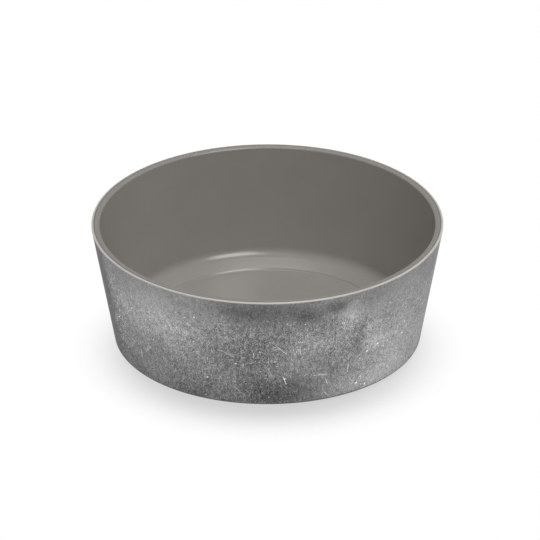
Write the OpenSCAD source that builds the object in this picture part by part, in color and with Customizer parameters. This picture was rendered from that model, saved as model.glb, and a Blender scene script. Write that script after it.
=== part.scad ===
// Round pet food bowl: a moulded melamine bowl with flared walls, a printed foil wrap let into
// its outside, and a removable non-slip ring pressed into a groove under its base.
// Millimetres, +Z up. The origin is the centre of the ring's underside, where the bowl stands.

/* [Bowl] */
// Outside diameter at the rim
rim_d = 190; // [170:1:230]
// Outside diameter at the base
base_d = 166; // [164:1:188]
// Height of the moulded bowl, without the ring under it
bowl_h = 67.4; // [45:0.1:90]
// Thickness of the wall at the rim, measured level
wall_w = 4.4; // [3.2:0.1:5.4]
// Thickness of the wall at its inside corner with the floor, measured level
wall_base_w = 6.4; // [5:0.1:8]
// Thickness of the floor over the recess under its middle
floor_t = 2.7; // [2.2:0.1:5]

/* [Rim] */
// Rise of the rim's crown above its two edges
crown_h = 0.3; // [0.1:0.05:0.4]
// Radius along the top of the crown
crown_r = 5; // [3:0.5:8]
// Radius of the rim's outer edge
rim_outer_r = 0.4; // [0.3:0.1:1.2]
// Radius of the rim's inner edge
rim_inner_r = 1; // [0.5:0.1:1.6]

/* [Inside] */
// Radius of the corner between the wall and the floor
fillet_r = 7.5; // [4:0.5:12]
// Rise of the floor's outer band, from the step to the wall
slope_h = 4; // [2:0.1:5]
// Diameter of the sunken middle of the floor
dish_d = 135; // [110:1:138]
// Height of the small step down to the middle
step_h = 1; // [0.5:0.1:1.5]
// Level width of that step
step_w = 0.8; // [0.5:0.1:1.5]
// Radius of the step's upper edge
step_lip_r = 0.8; // [0.3:0.1:1.2]
// Radius of the corner at the foot of the step
step_foot_r = 1.2; // [0.5:0.1:1.5]

/* [Base] */
// Radius of the outside edge of the base
base_edge_r = 1.2; // [0.6:0.1:2]
// Diameter of the recess under the middle of the floor
recess_d = 132; // [100:1:136]
// Depth of that recess
recess_h = 0.4; // [0.3:0.1:0.8]
// Level width of the recess's sloping edge
recess_edge_w = 1.2; // [0.8:0.1:2]
// Radius of the two corners of the recess's edge
recess_r = 0.4; // [0.2:0.1:0.6]
// Mean diameter of the groove that holds the ring
groove_d = 154; // [150:1:156]
// Width of the groove
groove_w = 5; // [4:0.1:6]
// Depth of the groove
groove_h = 2; // [1.8:0.1:2.4]
// Radius of the groove's lead-in edges
groove_edge_r = 0.4; // [0.2:0.1:0.6]

/* [Printed wrap] */
// Thickness of the printed foil with the resin over it
wrap_t = 0.4; // [0.2:0.1:1]
// Gap between the foil's two ends, at the back of the bowl
seam_w = 0.5; // [0.2:0.1:2]
// Plain wall between the foil and the rounded edges above and below it
wrap_margin = 0.1; // [0.1:0.1:5]

/* [Non-slip ring] */
// Width of the ring's tread, which the bowl stands on
tread_w = 8; // [7:0.1:10]
// Height of the tread, which is how far the ring lifts the bowl
tread_h = 0.6; // [0.4:0.1:2]
// Radius of the tread's lower edges
tread_edge_r = 0.3; // [0.1:0.1:0.4]
// Gap between the ring's tongue and the groove's sides and roof
tongue_gap = 0.3; // [0.2:0.05:0.5]
// Gap left outside the grip rib on each side of the tongue
rib_gap = 0.1; // [0.05:0.01:0.15]
// Radius of the tongue's upper edges
tongue_edge_r = 0.4; // [0.2:0.1:0.6]
// Section radius of a grip rib
rib_r = 0.35; // [0.3:0.05:0.4]

/* [Hidden] */
$fn = 144;
// Largest turn between two points of a rounded corner, in degrees, and the fewest steps in one
arc_step = 10;
arc_steps_min = 4;
// Share of a side that the arcs at its two ends may take up
side_room = 0.96;

rim_r = rim_d / 2;
base_r = base_d / 2;
groove_r = groove_d / 2;
dish_r = dish_d / 2;
recess_top_r = recess_d / 2;

// Heights above the surface that the bowl stands on
base_z = tread_h;
rim_z = base_z + bowl_h;
rim_edge_z = rim_z - crown_h;
recess_z = base_z + recess_h;
groove_z = base_z + groove_h;
dish_z = recess_z + floor_t;
corner_z = dish_z + step_h + slope_h;

groove_inner_r = groove_r - groove_w / 2;
groove_outer_r = groove_r + groove_w / 2;
recess_foot_r = recess_top_r + recess_edge_w;

// Radius of the wall's outer face at height z
function wall_r(z) = base_r + (rim_r - base_r) * (z - base_z) / (rim_edge_z - base_z);

// Corners of the bowl's half section, from the axis under the floor, round the outside and back
bowl_points = [
    [0, recess_z],
    [recess_top_r, recess_z],
    [recess_foot_r, base_z],
    [groove_inner_r, base_z],
    [groove_inner_r, groove_z],
    [groove_outer_r, groove_z],
    [groove_outer_r, base_z],
    [base_r, base_z],
    [rim_r, rim_edge_z],
    [rim_r - wall_w / 2, rim_z],
    [rim_r - wall_w, rim_edge_z],
    [wall_r(corner_z) - wall_base_w, corner_z],
    [dish_r + step_w, dish_z + step_h],
    [dish_r, dish_z],
    [0, dish_z]
];
// Radius at each of those corners, 0 where the corner stays sharp
bowl_radii = fitted(bowl_points, [
    0, recess_r, recess_r,
    groove_edge_r, 0, 0, groove_edge_r,
    base_edge_r, rim_outer_r, crown_r, rim_inner_r,
    fillet_r, step_lip_r, step_foot_r, 0
]);

// Places in that list of the two corners at the ends of the wall's outer face
base_corner = 7;
rim_corner = 8;
// The foil reaches from the base's rounded edge to the rim's, short of each by the margin
base_arc = corner_points(bowl_points, bowl_radii, base_corner);
rim_arc = corner_points(bowl_points, bowl_radii, rim_corner);
wrap_low_z = base_arc[len(base_arc) - 1][1] + wrap_margin;
wrap_high_z = rim_arc[0][1] - wrap_margin;
seam_angle = 2 * asin(seam_w / 2 / rim_r);
// Direction of the back of the bowl, where the foil's ends meet
back_angle = 90;
// How far the cut for the foil passes the wall's outer face
cut_past = 1;

tongue_half_w = groove_w / 2 - tongue_gap;
tongue_z = groove_z - tongue_gap;
// Place of the grip rib up each side of the tongue, as a share of its height
rib_place = 0.5;

// Corners of the ring's section, from the tread's inner lower edge round its outside
ring_points = [
    [groove_r - tread_w / 2, 0],
    [groove_r + tread_w / 2, 0],
    [groove_r + tread_w / 2, base_z],
    [groove_r + tongue_half_w, base_z],
    [groove_r + tongue_half_w, tongue_z],
    [groove_r - tongue_half_w, tongue_z],
    [groove_r - tongue_half_w, base_z],
    [groove_r - tread_w / 2, base_z]
];
ring_radii = fitted(ring_points, [tread_edge_r, tread_edge_r, 0, 0, tongue_edge_r, tongue_edge_r, 0, 0]);

function unit(v) = v / norm(v);
function turned(v, angle) = [v[0] * cos(angle) - v[1] * sin(angle), v[0] * sin(angle) + v[1] * cos(angle)];
function before(list, i) = list[(i + len(list) - 1) % len(list)];
function after(list, i) = list[(i + 1) % len(list)];

// Half of the angle between the two sides that meet at corner p
function half_angle(p, a, b) = acos(unit(a - p) * unit(b - p)) / 2;

// Length of side that the arc at corner i takes up
function side_run(points, radii, i) =
    radii[i] / tan(half_angle(points[i], before(points, i), after(points, i)));

// Share of the arcs at both its ends that the side from corner i to the next has room for
function side_share(points, radii, i) =
    let (
        next = (i + 1) % len(points),
        need = side_run(points, radii, i) + side_run(points, radii, next),
        room = side_room * norm(points[next] - points[i])
    )
    need > room ? room / need : 1;

// Radii brought down wherever the sides are too short for them
function fitted(points, radii) =
    let (shares = [for (i = [0 : len(points) - 1]) side_share(points, radii, i)])
    [for (i = [0 : len(points) - 1]) radii[i] * min(before(shares, i), shares[i])];

// Points of the arc of radius r that rounds corner p, from the side towards a to the side towards b
function corner_arc(p, a, b, r) =
    let (
        half = half_angle(p, a, b),
        middle = unit(unit(a - p) + unit(b - p)),
        centre = p + middle * r / sin(half),
        spoke = p + unit(a - p) * r / tan(half) - centre,
        sweep = sign(cross(p - a, b - p)) * (180 - 2 * half),
        steps = max(arc_steps_min, ceil(abs(sweep) / arc_step))
    )
    [for (i = [0 : steps]) centre + turned(spoke, sweep * i / steps)];

// Points that stand for corner i of an outline: its arc, or the corner itself where its radius is 0
function corner_points(points, radii, i) =
    radii[i] > 0 ? corner_arc(points[i], before(points, i), after(points, i), radii[i]) : [points[i]];

// An outline with each of its corners rounded
function rounded(points, radii) = [for (i = [0 : len(points) - 1]) each corner_points(points, radii, i)];

// The foil's band round the wall, with its outer face moved out by past
module wrap_band(past = 0) {
    rotate(back_angle + seam_angle / 2)
        rotate_extrude(angle = 360 - seam_angle)
            polygon([
                [wall_r(wrap_low_z) - wrap_t, wrap_low_z],
                [wall_r(wrap_low_z) + past, wrap_low_z],
                [wall_r(wrap_high_z) + past, wrap_high_z],
                [wall_r(wrap_high_z) - wrap_t, wrap_high_z]
            ]);
}

// The moulding: flared wall, crowned rim, stepped floor, recessed base and the ring's groove
module bowl_body() {
    color([0.50, 0.48, 0.46])
        difference() {
            rotate_extrude() polygon(rounded(bowl_points, bowl_radii));
            wrap_band(past = cut_past);
        }
}

// The printed foil, flush with the wall and pieced at the back
module printed_wrap() {
    color([0.55, 0.55, 0.55]) wrap_band();
}

// The ring's T-shaped section: a tread under the base and a tongue up in the groove
module ring_section() {
    polygon(rounded(ring_points, ring_radii));
    for (side = [-1, 1])
        translate([
            groove_r + side * (groove_w / 2 - rib_gap - rib_r),
            base_z + rib_place * (tongue_z - base_z)
        ])
            circle(rib_r);
}

// The silicone ring that grips the floor and pulls out of its groove for washing
module non_slip_ring() {
    color([0.20, 0.20, 0.20]) rotate_extrude() ring_section();
}

bowl_body();
printed_wrap();
non_slip_ring();
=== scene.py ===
import math

import bpy
from mathutils import Matrix, Vector


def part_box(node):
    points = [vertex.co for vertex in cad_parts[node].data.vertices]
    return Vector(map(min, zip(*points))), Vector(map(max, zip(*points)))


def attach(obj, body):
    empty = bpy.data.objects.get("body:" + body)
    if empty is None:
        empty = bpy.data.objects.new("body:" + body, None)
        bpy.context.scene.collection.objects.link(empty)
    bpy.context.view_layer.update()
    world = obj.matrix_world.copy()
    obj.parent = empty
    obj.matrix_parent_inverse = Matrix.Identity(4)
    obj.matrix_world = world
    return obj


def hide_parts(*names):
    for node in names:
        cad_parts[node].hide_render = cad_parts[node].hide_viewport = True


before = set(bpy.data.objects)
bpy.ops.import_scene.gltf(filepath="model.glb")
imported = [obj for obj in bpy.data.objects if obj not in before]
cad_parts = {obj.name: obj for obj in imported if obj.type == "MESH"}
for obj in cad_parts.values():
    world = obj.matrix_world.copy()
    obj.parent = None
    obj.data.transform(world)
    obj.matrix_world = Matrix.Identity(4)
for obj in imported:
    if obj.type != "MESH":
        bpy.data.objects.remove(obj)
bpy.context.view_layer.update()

# Sizes of the bowl, in metres, as in the part's source
MM = 0.001
RIM_R = 95 * MM
BASE_R = 83 * MM
BOWL_H = 67.4 * MM
WALL_W = 4.4 * MM
WALL_BASE_W = 6.4 * MM
CROWN_H = 0.3 * MM
CROWN_R = 5 * MM
RIM_OUTER_R = 0.4 * MM
RIM_INNER_R = 1 * MM
FLOOR_T = 2.7 * MM
FILLET_R = 7.5 * MM
SLOPE_H = 4 * MM
DISH_R = 67.5 * MM
STEP_H = 1 * MM
STEP_W = 0.8 * MM
STEP_LIP_R = 0.8 * MM
STEP_FOOT_R = 1.2 * MM
BASE_EDGE_R = 1.2 * MM
RECESS_R = 66 * MM
RECESS_H = 0.4 * MM
RECESS_EDGE_W = 1.2 * MM
RECESS_CORNER_R = 0.4 * MM
GROOVE_R = 77 * MM
GROOVE_W = 5 * MM
GROOVE_H = 2 * MM
GROOVE_EDGE_R = 0.4 * MM
WRAP_T = 0.4 * MM
SEAM_W = 0.5 * MM
TREAD_W = 8 * MM
TREAD_EDGE_R = 0.3 * MM
TONGUE_GAP = 0.3 * MM
TONGUE_EDGE_R = 0.4 * MM
RIB_GAP = 0.1 * MM
RIB_R = 0.35 * MM
# Place of the grip rib up each side of the ring's tongue, as a share of the tongue's height
RIB_PLACE = 0.5

# Heights above the surface that the bowl stands on
base_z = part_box("bowl_body")[0].z
wrap_low_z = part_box("printed_wrap")[0].z
wrap_high_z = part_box("printed_wrap")[1].z
tongue_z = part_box("non_slip_ring")[1].z
rim_z = base_z + BOWL_H
rim_edge_z = rim_z - CROWN_H
recess_z = base_z + RECESS_H
groove_z = base_z + GROOVE_H
dish_z = recess_z + FLOOR_T
corner_z = dish_z + STEP_H + SLOPE_H

# Fineness of the turned meshes: columns round the axis, the turn between points of an arc, and the
# steps in a short arc and in a grip rib
COLUMNS = 288
ARC_STEP = math.radians(4)
ARC_STEPS_MIN = 3
RIB_STEPS = 12
# Corners that turn more than this keep a sharp edge
SHARP_ANGLE = math.radians(30)
# Direction of the back of the bowl, where the wrap's ends meet, and half of the gap between them
BACK_ANGLE = math.radians(90)
seam_half_angle = math.asin(SEAM_W / 2 / RIM_R)
# The moulding between the wrap's ends stops this far below the wall's face
SEAM_SINK = 0.02 * MM
# Share of the seam's width that the top of the moulding in it takes up
SEAM_TOP = 0.96


def wall_r(z):
    """Radius of the wall's outer face at height z."""
    return BASE_R + (RIM_R - BASE_R) * (z - base_z) / (rim_edge_z - base_z)


def corner_arc(corner, before, after, radius):
    """Points of the arc that rounds a corner, from the side before it to the side after it."""
    to_before = (before - corner).normalized()
    to_after = (after - corner).normalized()
    half = to_before.angle(to_after) / 2
    middle = (to_before + to_after).normalized()
    centre = corner + middle * radius / math.sin(half)
    spoke = corner + to_before * radius / math.tan(half) - centre
    turn_sign = 1 if (corner - before).cross(after - corner) > 0 else -1
    sweep = turn_sign * (math.pi - 2 * half)
    steps = max(ARC_STEPS_MIN, math.ceil(abs(sweep) / ARC_STEP))
    return [centre + Matrix.Rotation(sweep * i / steps, 2) @ spoke for i in range(steps + 1)]


def rounded(corners):
    """An outline from (r, z, corner radius) entries; a corner with radius 0 stays sharp."""
    points = [Vector((r, z)) for r, z, _ in corners]
    outline = []
    for i, (_, _, radius) in enumerate(corners):
        before = points[i - 1]
        after = points[(i + 1) % len(points)]
        outline += corner_arc(points[i], before, after, radius) if radius else [points[i]]
    return outline


def bowl_outline(pocket):
    """The bowl's half section from the axis under the floor and back, with a pocket of that depth."""
    recess_foot_r = RECESS_R + RECESS_EDGE_W
    groove_inner_r = GROOVE_R - GROOVE_W / 2
    groove_outer_r = GROOVE_R + GROOVE_W / 2
    return rounded([
        (0, recess_z, 0),
        (RECESS_R, recess_z, RECESS_CORNER_R),
        (recess_foot_r, base_z, RECESS_CORNER_R),
        (groove_inner_r, base_z, GROOVE_EDGE_R),
        (groove_inner_r, groove_z, 0),
        (groove_outer_r, groove_z, 0),
        (groove_outer_r, base_z, GROOVE_EDGE_R),
        (BASE_R, base_z, BASE_EDGE_R),
        (wall_r(wrap_low_z), wrap_low_z, 0),
        (wall_r(wrap_low_z) - pocket, wrap_low_z, 0),
        (wall_r(wrap_high_z) - pocket, wrap_high_z, 0),
        (wall_r(wrap_high_z), wrap_high_z, 0),
        (RIM_R, rim_edge_z, RIM_OUTER_R),
        (RIM_R - WALL_W / 2, rim_z, CROWN_R),
        (RIM_R - WALL_W, rim_edge_z, RIM_INNER_R),
        (wall_r(corner_z) - WALL_BASE_W, corner_z, FILLET_R),
        (DISH_R + STEP_W, dish_z + STEP_H, STEP_LIP_R),
        (DISH_R, dish_z, STEP_FOOT_R),
        (0, dish_z, 0),
    ])


def wrap_outline():
    """The wrap's section, flush with the wall's outer face."""
    return rounded([
        (wall_r(wrap_low_z) - WRAP_T, wrap_low_z, 0),
        (wall_r(wrap_low_z), wrap_low_z, 0),
        (wall_r(wrap_high_z), wrap_high_z, 0),
        (wall_r(wrap_high_z) - WRAP_T, wrap_high_z, 0),
    ])


def rib_arc(side):
    """Points of the grip rib on one flank of the tongue, from its lower edge to its upper one."""
    flank = GROOVE_W / 2 - TONGUE_GAP
    centre_r = GROOVE_W / 2 - RIB_GAP - RIB_R
    centre_z = base_z + RIB_PLACE * (tongue_z - base_z)
    reach = math.acos((flank - centre_r) / RIB_R)
    turns = [reach * (2 * i / RIB_STEPS - 1) for i in range(RIB_STEPS + 1)]
    return [
        (GROOVE_R + side * (centre_r + RIB_R * math.cos(t)), centre_z + RIB_R * math.sin(t), 0)
        for t in turns
    ]


def ring_outline():
    """The ring's T-shaped section: a tread under the base and a ribbed tongue up in the groove."""
    tongue_half_w = GROOVE_W / 2 - TONGUE_GAP
    return rounded([
        (GROOVE_R - TREAD_W / 2, 0, TREAD_EDGE_R),
        (GROOVE_R + TREAD_W / 2, 0, TREAD_EDGE_R),
        (GROOVE_R + TREAD_W / 2, base_z, 0),
        (GROOVE_R + tongue_half_w, base_z, 0),
        *rib_arc(1),
        (GROOVE_R + tongue_half_w, tongue_z, TONGUE_EDGE_R),
        (GROOVE_R - tongue_half_w, tongue_z, TONGUE_EDGE_R),
        *reversed(rib_arc(-1)),
        (GROOVE_R - tongue_half_w, base_z, 0),
        (GROOVE_R - TREAD_W / 2, base_z, 0),
    ])


def smooth_object(name, vertices, faces):
    """A smooth object whose edges are sharp where its surface turns sharply."""
    mesh = bpy.data.meshes.new(name)
    mesh.from_pydata(vertices, [], faces)
    mesh.shade_smooth()
    mesh.set_sharp_from_angle(angle=SHARP_ANGLE)
    made = bpy.data.objects.new(name, mesh)
    bpy.context.scene.collection.objects.link(made)
    weighted = made.modifiers.new("weighted normals", "WEIGHTED_NORMAL")
    weighted.keep_sharp = True
    return made


def turned_faces(columns, rows, full_turn, on_axis):
    """Faces between neighbouring columns of vertices, given how many columns and rows there are.

    A full turn joins the last column to the first; otherwise the two end columns are capped.
    A form on the axis closes on two vertices there, which come after all the others.
    """
    faces = []
    spans = columns if full_turn else columns - 1
    low, high = columns * rows, columns * rows + 1
    for i in range(spans):
        here = i * rows
        there = (i + 1) % columns * rows
        for row in range(rows - 1 if on_axis else rows):
            following = (row + 1) % rows
            faces.append((here + row, there + row, there + following, here + following))
        if on_axis:
            faces.append((low, there, here))
            faces.append((high, here + rows - 1, there + rows - 1))
    if not full_turn:
        last = spans * rows
        faces.append(tuple(range(rows)))
        faces.append(tuple(range(last + rows - 1, last - 1, -1)))
    return faces


def turned_piece(name, columns, full_turn):
    """A closed form from (angle, outline) columns, whose outlines have equally many points.

    An outline that starts and ends on the axis has its two ends there in common with the others.
    """
    outline = columns[0][1]
    on_axis = outline[0].x == 0
    rows = range(1, len(outline) - 1) if on_axis else range(len(outline))
    vertices = [
        (points[row].x * math.cos(angle), points[row].x * math.sin(angle), points[row].y)
        for angle, points in columns
        for row in rows
    ]
    if on_axis:
        vertices += [(0, 0, outline[0].y), (0, 0, outline[-1].y)]
    faces = turned_faces(len(columns), len(rows), full_turn, on_axis)
    return smooth_object(name, vertices, faces)


def wrap_angles():
    """Angles of the wrap's columns, from one side of the seam round to the other."""
    first = BACK_ANGLE + seam_half_angle
    last = BACK_ANGLE + 2 * math.pi - seam_half_angle
    between = [BACK_ANGLE + 2 * math.pi * i / COLUMNS for i in range(1, COLUMNS)]
    return [first, *between, last]


def make_piece(name, columns, full_turn, node, body, material):
    """A turned piece that stands for a CAD node, rides on its body and has its finish."""
    piece = turned_piece(name, columns, full_turn)
    piece.data.materials.append(material)
    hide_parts(node)
    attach(piece, body)
    return piece


def make_bowl(material):
    """The moulding, with the wrap's pocket round it and the thread of moulding in the seam."""
    top = seam_half_angle * SEAM_TOP
    pocketed = bowl_outline(WRAP_T)
    filled = bowl_outline(SEAM_SINK)
    columns = [(angle, pocketed) for angle in wrap_angles()]
    columns += [(BACK_ANGLE + 2 * math.pi + turn, filled) for turn in (-top, top)]
    return make_piece("bowl_moulding", columns, True, "bowl_body", "bowl", material)


def make_wrap(material):
    """The printed wrap, a thin band with butted ends."""
    outline = wrap_outline()
    columns = [(angle, outline) for angle in wrap_angles()]
    return make_piece("wrap_band", columns, False, "printed_wrap", "bowl", material)


def make_ring(material):
    """The non-slip ring."""
    outline = ring_outline()
    columns = [(2 * math.pi * i / COLUMNS, outline) for i in range(COLUMNS)]
    return make_piece("grip_ring", columns, True, "non_slip_ring", "base_ring", material)


def add_node(tree, kind, inputs=None, **settings):
    """A new node; each of its inputs is given a value or another node's output."""
    made = tree.nodes.new(kind)
    for name, value in settings.items():
        setattr(made, name, value)
    for key, value in (inputs or {}).items():
        if isinstance(value, bpy.types.NodeSocket):
            tree.links.new(value, made.inputs[key])
        else:
            made.inputs[key].default_value = value
    return made


def new_material(name):
    """A material with its node tree and its main shader."""
    material = bpy.data.materials.new(name)
    material.use_nodes = True
    return material, material.node_tree, material.node_tree.nodes["Principled BSDF"]


def calc(tree, operation, *values):
    """The result of a sum on numbers or other nodes' outputs."""
    return add_node(tree, "ShaderNodeMath", dict(enumerate(values)), operation=operation).outputs[0]


def total(tree, values):
    """The sum of several outputs or numbers."""
    result = values[0]
    for value in values[1:]:
        result = calc(tree, "ADD", result, value)
    return result


def product(tree, values):
    """The product of several outputs or numbers."""
    result = values[0]
    for value in values[1:]:
        result = calc(tree, "MULTIPLY", result, value)
    return result


def fade(tree, value, start, end, first=0, last=1):
    """A smooth change from first to last as the value goes from start to end."""
    inputs = {"Value": value, "From Min": start, "From Max": end, "To Min": first, "To Max": last}
    node = add_node(tree, "ShaderNodeMapRange", inputs, interpolation_type="SMOOTHSTEP")
    return node.outputs["Result"]


def vector_calc(tree, operation, *values):
    """The vector that comes of a sum on vectors."""
    node = add_node(tree, "ShaderNodeVectorMath", dict(enumerate(values)), operation=operation)
    return node.outputs["Vector"]


def length_of(tree, vector):
    """The length of a vector."""
    return add_node(tree, "ShaderNodeVectorMath", {0: vector}, operation="LENGTH").outputs["Value"]


def turned(tree, vector, angle):
    """A flat vector turned by an angle in radians."""
    inputs = {"Vector": vector, "Angle": angle}
    return add_node(tree, "ShaderNodeVectorRotate", inputs, rotation_type="Z_AXIS").outputs[0]


def split(tree, vector):
    """The three parts of a vector."""
    return add_node(tree, "ShaderNodeSeparateXYZ", {0: vector}).outputs[:3]


def join(tree, x, y, z=0):
    """A vector from its parts."""
    return add_node(tree, "ShaderNodeCombineXYZ", {0: x, 1: y, 2: z}).outputs[0]


def noise(tree, vector, size, strength=1, detail=2, roughness=0.5):
    """Soft noise about 0 of that strength, with features of that size in the vector's unit."""
    inputs = {"Vector": vector, "Scale": 1 / size, "Detail": detail, "Roughness": roughness}
    node = add_node(tree, "ShaderNodeTexNoise", inputs)
    about_zero = calc(tree, "SUBTRACT", node.outputs["Fac"], 0.5)
    return calc(tree, "MULTIPLY", about_zero, strength)


def in_millimetres(tree):
    """The piece's own coordinates, in millimetres."""
    place = add_node(tree, "ShaderNodeTexCoord").outputs["Object"]
    return vector_calc(tree, "MULTIPLY", place, (1 / MM, 1 / MM, 1 / MM))


def add_bump(tree, shader, height, depth):
    """Give a shader a bumpy surface of that depth in millimetres."""
    inputs = {"Height": height, "Distance": depth * MM, "Strength": 1}
    bump = add_node(tree, "ShaderNodeBump", inputs)
    tree.links.new(bump.outputs["Normal"], shader.inputs["Normal"])


def mixed_colour(tree, share, first, second):
    """The parts of a colour that goes from the first to the second with the share."""
    return [calc(tree, "MULTIPLY_ADD", share, b - a, a) for a, b in zip(first, second)]


def set_colour(tree, shader, colour, change):
    """Set a shader's colour from its parts, lightened or darkened by a change about 0."""
    factor = calc(tree, "ADD", change, 1)
    scaled = [calc(tree, "MULTIPLY", factor, part) for part in colour]
    mixed = add_node(tree, "ShaderNodeCombineColor", dict(enumerate(scaled)))
    tree.links.new(mixed.outputs[0], shader.inputs["Base Color"])


# Melamine: a warm grey with faint clouds, and the fine ripple of a moulded satin surface. A pale
# line along the rim's outer edge is a painted highlight, and the thin dark line beside it is painted
# shade. Sizes in this and the other materials are in millimetres.
MELAMINE_COLOUR = (0.234, 0.22, 0.202)
MELAMINE_ROUGHNESS = 0.22
MELAMINE_IOR = 1.65
RIPPLE_DEPTH = 0.01
# Colour, width and blur of the painted highlight along the rim's outer edge
PAINTED_HIGHLIGHT_COLOUR = (0.475, 0.454, 0.422)
PAINTED_HIGHLIGHT_W = 1.1
PAINTED_HIGHLIGHT_BLUR = 0.2
# The painted highlight starts this far below the print's upper end
PAINTED_HIGHLIGHT_OVERLAP = 0.05
# Width and change of tone of the painted shade line just inside the painted highlight
PAINTED_SHADE_W = 0.8
PAINTED_SHADE_CHANGE = -0.4


def melamine_material():
    """Satin moulded melamine in warm grey, with a painted highlight and shade along the rim's outer edge.
    """
    material, tree, shader = new_material("melamine")
    place = in_millimetres(tree)
    x, y, z = split(tree, place)
    radius = length_of(tree, join(tree, x, y))
    # A painted highlight along the rim's outer edge, and a thin painted shade line just inside it
    painted_highlight_r = RIM_R / MM - PAINTED_HIGHLIGHT_W
    in_painted_highlight = fade(tree, radius, painted_highlight_r - PAINTED_HIGHLIGHT_BLUR, painted_highlight_r + PAINTED_HIGHLIGHT_BLUR)
    above_print = calc(tree, "GREATER_THAN", z, wrap_high_z / MM - PAINTED_HIGHLIGHT_OVERLAP)
    painted_highlight_share = calc(tree, "MULTIPLY", in_painted_highlight, above_print)
    from_painted_shade = calc(tree, "ABSOLUTE", calc(tree, "SUBTRACT", radius, painted_highlight_r - PAINTED_SHADE_W / 2))
    changes = [
        noise(tree, place, size=18, strength=0.08),
        noise(tree, place, size=0.5, strength=0.05, detail=1),
        # the thin line of painted shade beside the painted highlight
        fade(tree, from_painted_shade, PAINTED_SHADE_W / 2, 0, 0, PAINTED_SHADE_CHANGE),
    ]
    colour = mixed_colour(tree, painted_highlight_share, MELAMINE_COLOUR, PAINTED_HIGHLIGHT_COLOUR)
    set_colour(tree, shader, colour, total(tree, changes))
    shader.inputs["IOR"].default_value = MELAMINE_IOR
    rough = calc(tree, "ADD", noise(tree, place, size=9, strength=0.08), MELAMINE_ROUGHNESS)
    tree.links.new(rough, shader.inputs["Roughness"])
    add_bump(tree, shader, noise(tree, place, size=1.2, detail=1), RIPPLE_DEPTH)
    return material


# The print: a flat drawing on the unrolled wall, in millimetres round it from the front and up it.
# Its tones are as seen, from 0 for black to 1 for white, and become colours at the end.
MEAN_R = (RIM_R + BASE_R) / 2 / MM
PRINT_TONE = 0.474
PRINT_TONE_MIN = 0.05
PRINT_GAMMA = 2.2
PRINT_ROUGHNESS = 0.45
PRINT_SPECULAR = 0.25
# Size and reach of the waves that bend the drawing, and the reach for the single scratches
BEND_SIZE = 6
BEND = 3
SCRATCH_BEND = 1.5
# The grain and the finest hairs are drawn out upwards
GRAIN_STRETCH = (1, 0.6, 1)
HAIR_STRETCH = (1, 0.35, 1)
# Change of tone by the grain's hairs, by the long hairs and by the grain's specks
HAIR_CHANGE = 0.26
LONG_HAIR_CHANGE = 0.2
GRAIN_SPECK_CHANGE = 0.4
# The way from a speck's dark side to its light one
EMBOSS_OFFSET = (0.3, -0.4, 0)
# Levels of a noise between which the hairs come in, and their strength before and after
HAIR_FADE = (-0.1, 0.15, 0.4, 1.2)
# Where the grain fades round the wall and up it, and its strength before and after
GRAIN_ROUND_FADE = (35, 70, 1, 0.85)
GRAIN_UP_FADE = (44, 62, 1, 0.45)
# A cloud ends this many half widths from its middle
CLOUD_REACH = 1.4
# Clouds of the worn metal, and at -76 degrees a painted shade along the wall's left side: degrees
# round from the front, height, half width and half height in millimetres, and the change of tone in the
# middle
CLOUDS_AND_PAINTED_SHADE = (
    (-40, 46, 40, 32, 0.175),
    (49, 15, 36, 28, 0.145),
    (45, 48, 28, 18, 0.07),
    (40, 5, 40, 10, 0.12),
    # A painted shade along the wall's left side, not a cloud of the print
    (-76, 34, 14, 60, -0.43),
    (-3, 62, 34, 8, -0.115),
    (1, 9, 24, 12, -0.11),
    (-1, 42, 14, 16, -0.05),
    (14, 57, 9, 5, -0.13),
    (23, 61, 8, 4.5, -0.15),
    (16, 38, 13, 11, 0.09),
    (29, 54, 8, 9, 0.12),
    (33, 37, 5, 14, -0.09),
    (41, 30, 12, 5, 0.08),
    (-46, 9, 16, 12, 0.07),
    (72, 6, 10, 12, 0.08),
    (-66, 10, 9, 16, -0.07),
    (-58, 46, 8, 10, 0.07),
    (-10, 29, 14, 9, -0.06),
    (73, 55, 9, 16, -0.07),
    (24, 41, 8, 8, 0.05),
)
# Patches of calmer or stronger grain, in the same form, with the change of its strength
GRAIN_PATCHES = (
    (17, 12, 22, 30, -0.38),
    (-68, 32, 16, 60, 0.8),
)
# The patch with the most hairs, in the same form
HAIRY_PATCH = (8, 28, 34, 20, 0.5)
SCRATCH_W = 0.8
# Single scratches: degrees round from the front, height, length, turn in degrees, change of tone
SCRATCHES = (
    (-14.7, 33.7, 12, -23, 0.22),
    (-10.6, 9.7, 13, -46, 0.36),
    (-51.9, 15.6, 8, 86, 0.36),
    (-4.8, 33.4, 5, 83, 0.36),
    (4.7, 36.5, 12, -47, 0.25),
    (6.1, 16.7, 7, -76, 0.54),
    (18.9, 17.7, 10, -5, 0.29),
    (21.6, 13.1, 6, -67, 0.36),
    (29.5, 19, 8, 90, 0.29),
    (22.2, 4, 8, -50, 0.22),
)
# Single specks: degrees round from the front, height, size, change of tone
SPECKS = (
    (-61.5, 13.3, 1, 0.56),
    (-25, 54, 0.9, 0.48),
    (-26, 37.8, 0.9, 0.4),
    (-22, 15.8, 1, 0.56),
    (2.5, 29.4, 0.9, 0.48),
    (6.2, 17.9, 1.2, 0.48),
    (41.8, 28.5, 1.2, 0.48),
    (55.1, 27, 1, 0.56),
    (37.1, 26.1, 1.2, 0.64),
    (34, 6.9, 1.1, 0.64),
    (38.2, 4.3, 1.1, 0.64),
    (34.3, 22.8, 1, 0.48),
    (46.8, 27.7, 0.9, 0.48),
)


def unrolled_wall(tree):
    """Millimetres round the wall from the front, and up it, as a flat vector."""
    x, y, z = split(tree, in_millimetres(tree))
    angle = calc(tree, "ARCTAN2", x, calc(tree, "MULTIPLY", y, -1))
    return join(tree, calc(tree, "MULTIPLY", angle, MEAN_R), z)


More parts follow.
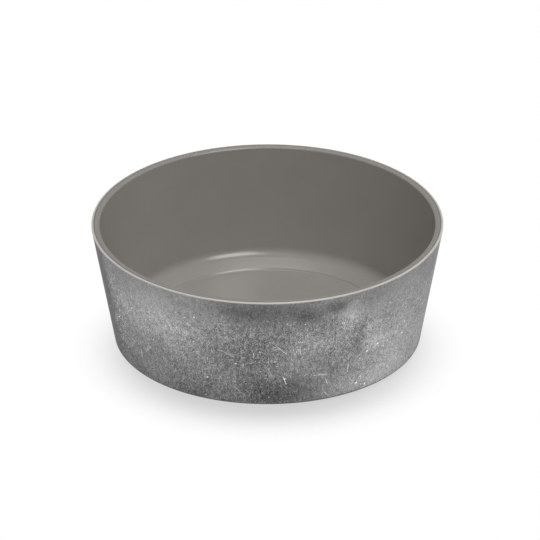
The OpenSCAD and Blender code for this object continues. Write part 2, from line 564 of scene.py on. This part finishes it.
def from_middle(tree, place, angle, height):
    """The place on the unrolled wall measured from a point on it."""
    return vector_calc(tree, "SUBTRACT", place, (math.radians(angle) * MEAN_R, height, 0))


def cloud(tree, place, angle, height, half_width, half_height, change):
    """A soft oval patch of change on the unrolled wall."""
    shrink = (1 / half_width, 1 / half_height, 0)
    offset = vector_calc(tree, "MULTIPLY", from_middle(tree, place, angle, height), shrink)
    return fade(tree, length_of(tree, offset), 0, CLOUD_REACH, change, 0)


def line(tree, offset, length, width):
    """1 on a line through the offset's origin, with soft ends and sides, and 0 away from it."""
    along, across, _ = split(tree, offset)
    in_length = fade(tree, calc(tree, "ABSOLUTE", along), length / 2, length / 4)
    in_width = fade(tree, calc(tree, "ABSOLUTE", across), width / 2, 0)
    return calc(tree, "MULTIPLY", in_length, in_width)


def strokes(tree, place, cell, length, width, share, spread, lean=0):
    """Straight hairs in a share of a mosaic's cells, with a spread and a lean from upright in degrees."""
    inputs = {"Vector": place, "Scale": 1 / cell}
    cells = add_node(tree, "ShaderNodeTexVoronoi", inputs, voronoi_dimensions="2D")
    chance, spin, strength = split(tree, cells.outputs["Color"])
    first = math.radians(90 - lean - spread / 2)
    angle = calc(tree, "MULTIPLY_ADD", spin, math.radians(spread), first)
    offset = vector_calc(tree, "SUBTRACT", place, cells.outputs["Position"])
    hair = line(tree, turned(tree, offset, angle), length, width)
    chosen = calc(tree, "LESS_THAN", chance, share)
    return product(tree, [hair, chosen, strength])


def scratch(tree, place, angle, height, length, turn, change):
    """One straight scratch on the unrolled wall."""
    offset = turned(tree, from_middle(tree, place, angle, height), -math.radians(turn))
    return calc(tree, "MULTIPLY", line(tree, offset, length, SCRATCH_W), change)


def embossed(tree, drawing, place, change):
    """A drawing lightened where it is and darkened just beside it, as if pressed into the metal."""
    aside = vector_calc(tree, "ADD", place, EMBOSS_OFFSET)
    relief = calc(tree, "SUBTRACT", drawing(place), drawing(aside))
    return calc(tree, "MULTIPLY", calc(tree, "ADD", drawing(place), relief), change / 2)


def speck(tree, place, angle, height, size, change):
    """One light speck on the unrolled wall, with a dark side."""
    def spot(at):
        return fade(tree, length_of(tree, from_middle(tree, at, angle, height)), size, 0)

    return embossed(tree, spot, place, change)


def grain(tree, place):
    """Fine grain, hairs and specks of the worn metal, fainter towards the rim."""
    upright = vector_calc(tree, "MULTIPLY", place, GRAIN_STRETCH)
    brushed = vector_calc(tree, "MULTIPLY", place, HAIR_STRETCH)
    hairs = [
        strokes(tree, brushed, cell=0.9, length=0.95, width=0.42, share=0.6, spread=60, lean=25),
        strokes(tree, place, cell=2.4, length=2.6, width=0.45, share=0.6, spread=140),
    ]
    hair_strength = [
        fade(tree, noise(tree, place, size=12), *HAIR_FADE),
        cloud(tree, place, *HAIRY_PATCH),
    ]

    def specks(at):
        return strokes(tree, at, cell=4.6, length=1.2, width=1.1, share=0.3, spread=180)

    layers = [
        noise(tree, upright, size=2.2, strength=0.3, detail=1, roughness=0.6),
        noise(tree, upright, size=0.5, strength=0.75, detail=1, roughness=0.6),
        product(tree, [total(tree, hairs), total(tree, hair_strength), HAIR_CHANGE]),
        embossed(tree, specks, place, GRAIN_SPECK_CHANGE),
    ]
    round_wall, height, _ = split(tree, place)
    return product(tree, [
        total(tree, layers),
        total(tree, [1] + [cloud(tree, place, *entry) for entry in GRAIN_PATCHES]),
        fade(tree, round_wall, *GRAIN_ROUND_FADE),
        fade(tree, height, *GRAIN_UP_FADE),
    ])


def print_tone(tree):
    """The tone of the print: clouds, a painted shade on the left side, grain, and the single scratches
    and specks.
    """
    place = unrolled_wall(tree)
    waves = add_node(tree, "ShaderNodeTexNoise", {"Vector": place, "Scale": 1 / BEND_SIZE, "Detail": 1})
    shift = vector_calc(tree, "SUBTRACT", waves.outputs["Color"], (0.5, 0.5, 0.5))
    bent = vector_calc(tree, "MULTIPLY_ADD", shift, (BEND, BEND, BEND), place)
    reach = (SCRATCH_BEND, SCRATCH_BEND, SCRATCH_BEND)
    slightly_bent = vector_calc(tree, "MULTIPLY_ADD", shift, reach, place)
    long_hairs = strokes(tree, bent, cell=15, length=14, width=0.45, share=0.5, spread=180)
    layers = [
        PRINT_TONE,
        noise(tree, bent, size=26, strength=0.2, detail=3),
        grain(tree, bent),
        calc(tree, "MULTIPLY", long_hairs, LONG_HAIR_CHANGE),
    ]
    layers += [cloud(tree, bent, *entry) for entry in CLOUDS_AND_PAINTED_SHADE]
    layers += [scratch(tree, slightly_bent, *entry) for entry in SCRATCHES]
    layers += [speck(tree, place, *entry) for entry in SPECKS]
    return total(tree, layers)


def print_material():
    """A print of worn galvanised metal under clear satin resin."""
    material, tree, shader = new_material("metal_print")
    tone = calc(tree, "MAXIMUM", print_tone(tree), PRINT_TONE_MIN)
    tree.links.new(calc(tree, "POWER", tone, PRINT_GAMMA), shader.inputs["Base Color"])
    shader.inputs["Roughness"].default_value = PRINT_ROUGHNESS
    shader.inputs["Specular IOR Level"].default_value = PRINT_SPECULAR
    return material


# Silicone: dark grey with a fine mottle and a matte skin
SILICONE_COLOUR = (0.05, 0.05, 0.05)
SILICONE_ROUGHNESS = 0.7
SKIN_DEPTH = 0.02


def silicone_material():
    """Matte moulded silicone in dark grey."""
    material, tree, shader = new_material("silicone")
    place = in_millimetres(tree)
    set_colour(tree, shader, SILICONE_COLOUR, noise(tree, place, size=0.6, strength=0.5, detail=3))
    shader.inputs["Roughness"].default_value = SILICONE_ROUGHNESS
    add_bump(tree, shader, noise(tree, place, size=0.3), SKIN_DEPTH)
    return material


bowl = make_bowl(melamine_material())
wrap = make_wrap(print_material())
ring = make_ring(silicone_material())
pieces = [bowl, wrap, ring]

# The stage: a white floor that keeps the shadow near the bowl and turns plain white further out.
# Its sizes are in metres again.
FLOOR_SIZE = 12
FLOOR_COLOUR = (0.8, 0.8, 0.8, 1)
WHITE = (1, 1, 1, 1)
# The shadow is lightened by this share inside the inner radius, and wholly outside the outer one
SHADOW_CENTRE = (0, -18 * MM, 0)
SHADOW_INNER_R = 65 * MM
SHADOW_OUTER_R = 110 * MM
SHADOW_LIGHTENING = 0.6
# Brightness of the surroundings in reflections: low down, above that and high up
REFLECTED_LOW = 0.4
REFLECTED_DARK = 0.1
REFLECTED_HIGH = 0.2
# Heights, in degrees, over which the low brightness falls off and the high one comes in
LOW_FALL = (8, 18)
HIGH_RISE = (20, 45)


def floor_material():
    """White that shows the bowl's shadow nearby and is plain white to the camera further out."""
    material, tree, shader = new_material("floor_white")
    shader.inputs["Base Color"].default_value = FLOOR_COLOUR
    shader.inputs["Roughness"].default_value = 1
    shader.inputs["Specular IOR Level"].default_value = 0
    place = add_node(tree, "ShaderNodeTexCoord").outputs["Object"]
    away = length_of(tree, vector_calc(tree, "SUBTRACT", place, SHADOW_CENTRE))
    lightened = fade(tree, away, SHADOW_INNER_R, SHADOW_OUTER_R, SHADOW_LIGHTENING, 1)
    rays = add_node(tree, "ShaderNodeLightPath").outputs
    seen = calc(tree, "MAXIMUM", rays["Is Camera Ray"], rays["Is Glossy Ray"])
    glow = add_node(tree, "ShaderNodeEmission", {"Color": WHITE, "Strength": 1})
    inputs = {0: calc(tree, "MULTIPLY", lightened, seen), 1: shader.outputs[0], 2: glow.outputs[0]}
    mixed = add_node(tree, "ShaderNodeMixShader", inputs)
    tree.links.new(mixed.outputs[0], tree.nodes["Material Output"].inputs["Surface"])
    return material


def make_floor():
    """A wide white floor under the bowl."""
    half = FLOOR_SIZE / 2
    mesh = bpy.data.meshes.new("floor")
    corners = [(-half, -half, 0), (half, -half, 0), (half, half, 0), (-half, half, 0)]
    mesh.from_pydata(corners, [], [(0, 1, 2, 3)])
    mesh.materials.append(floor_material())
    floor = bpy.data.objects.new("floor", mesh)
    bpy.context.scene.collection.objects.link(floor)
    return floor


def make_world():
    """A studio that gives no light, white to the camera and darker above its horizon in reflections."""
    world = bpy.data.worlds.new("studio")
    world.use_nodes = True
    tree = world.node_tree
    direction = add_node(tree, "ShaderNodeTexCoord").outputs["Generated"]
    height = split(tree, direction)[2]
    fall_start, fall_end = [math.sin(math.radians(angle)) for angle in LOW_FALL]
    rise_start, rise_end = [math.sin(math.radians(angle)) for angle in HIGH_RISE]
    low = fade(tree, height, fall_start, fall_end, REFLECTED_LOW, REFLECTED_DARK)
    high = fade(tree, height, rise_start, rise_end, 0, REFLECTED_HIGH)
    rays = add_node(tree, "ShaderNodeLightPath").outputs
    reflected = calc(tree, "MULTIPLY", calc(tree, "ADD", low, high), rays["Is Glossy Ray"])
    strength = calc(tree, "ADD", rays["Is Camera Ray"], reflected)
    background = tree.nodes["Background"]
    background.inputs["Color"].default_value = WHITE
    tree.links.new(strength, background.inputs["Strength"])
    bpy.context.scene.world = world


# Distance of the studio lights from the middle of the bowl
LIGHT_DISTANCE = 4


def make_area_light(name, azimuth, elevation, size, power, on, distance=LIGHT_DISTANCE, glossy=True):
    """A soft square light that shines on some objects alone, from a direction seen from the bowl.

    Its azimuth is in degrees to the right from the camera's side. A light that isn't glossy shows
    in no reflection.
    """
    turn, rise = math.radians(azimuth), math.radians(elevation)
    away = Vector((math.sin(turn) * math.cos(rise), -math.cos(turn) * math.cos(rise), math.sin(rise)))
    data = bpy.data.lights.new(name, "AREA")
    data.shape = "SQUARE"
    data.size = size
    data.energy = power
    light = bpy.data.objects.new(name, data)
    light.location = Vector((0, 0, BOWL_H / 2)) + away * distance
    light.rotation_euler = away.to_track_quat("Z", "Y").to_euler()
    light.visible_camera = False
    light.visible_glossy = glossy
    bpy.context.scene.collection.objects.link(light)
    lit = bpy.data.collections.new(name + " receivers")
    for receiver in on:
        lit.objects.link(receiver)
    light.light_linking.receiver_collection = lit


# The camera: its angles, lens and target come from a fit to the bowl's outline in the photo
CAMERA_ELEVATION = math.radians(27.4)
CAMERA_ROLL = math.radians(-0.15)
CAMERA_DISTANCE = 3.8
# Focal length and sensor width, in millimetres
CAMERA_LENS = 467.8
SENSOR_W = 36
TARGET_Z = 34.1 * MM
# Place of the target in the photo, from its middle, in pixels to the right and down
IMAGE_SIZE = 540
TARGET_RIGHT = -2.5
TARGET_DOWN = 7.4


def make_camera():
    """The camera at the photo's viewing angle."""
    data = bpy.data.cameras.new("camera")
    data.sensor_width = SENSOR_W
    data.lens = CAMERA_LENS
    data.shift_x = -TARGET_RIGHT / IMAGE_SIZE
    data.shift_y = TARGET_DOWN / IMAGE_SIZE
    away = Vector((0, -math.cos(CAMERA_ELEVATION), math.sin(CAMERA_ELEVATION)))
    level = away.to_track_quat("Z", "Y").to_matrix()
    camera = bpy.data.objects.new("camera", data)
    camera.location = Vector((0, 0, TARGET_Z)) + away * CAMERA_DISTANCE
    camera.rotation_euler = (level @ Matrix.Rotation(CAMERA_ROLL, 3, "Z")).to_euler()
    bpy.context.scene.collection.objects.link(camera)
    bpy.context.scene.camera = camera


floor = make_floor()
make_world()
# The key and the back light make the highlights inside the bowl, and the next four even out its walls
make_area_light("key light", azimuth=34, elevation=51, size=2, power=58, on=pieces)
make_area_light("back light", azimuth=180, elevation=72, size=1.6, power=16, on=pieces)
make_area_light("top light", azimuth=0, elevation=90, size=3.1, power=54, on=pieces, glossy=False)
make_area_light("front light", azimuth=-2, elevation=60, size=2.1, power=76, on=pieces, glossy=False)
make_area_light("left fill", azimuth=-110, elevation=22, size=2.1, power=24, on=[bowl], glossy=False)
make_area_light("right fill", azimuth=112, elevation=26, size=2.1, power=38, on=[bowl], glossy=False)
# Low lights on the print, and one light that gives the floor its shadow
make_area_light("low back light", azimuth=180, elevation=12, size=2.1, power=60, on=[wrap], glossy=False)
make_area_light("low left light", azimuth=-45, elevation=12, size=2.1, power=43, on=[wrap])
make_area_light("low right light", azimuth=55, elevation=8, size=1.6, power=62, on=[wrap])
make_area_light("floor light", azimuth=180, elevation=76, size=1, power=24, on=[floor], distance=1.3)
make_camera()
bpy.context.scene.view_settings.view_transform = "Standard"
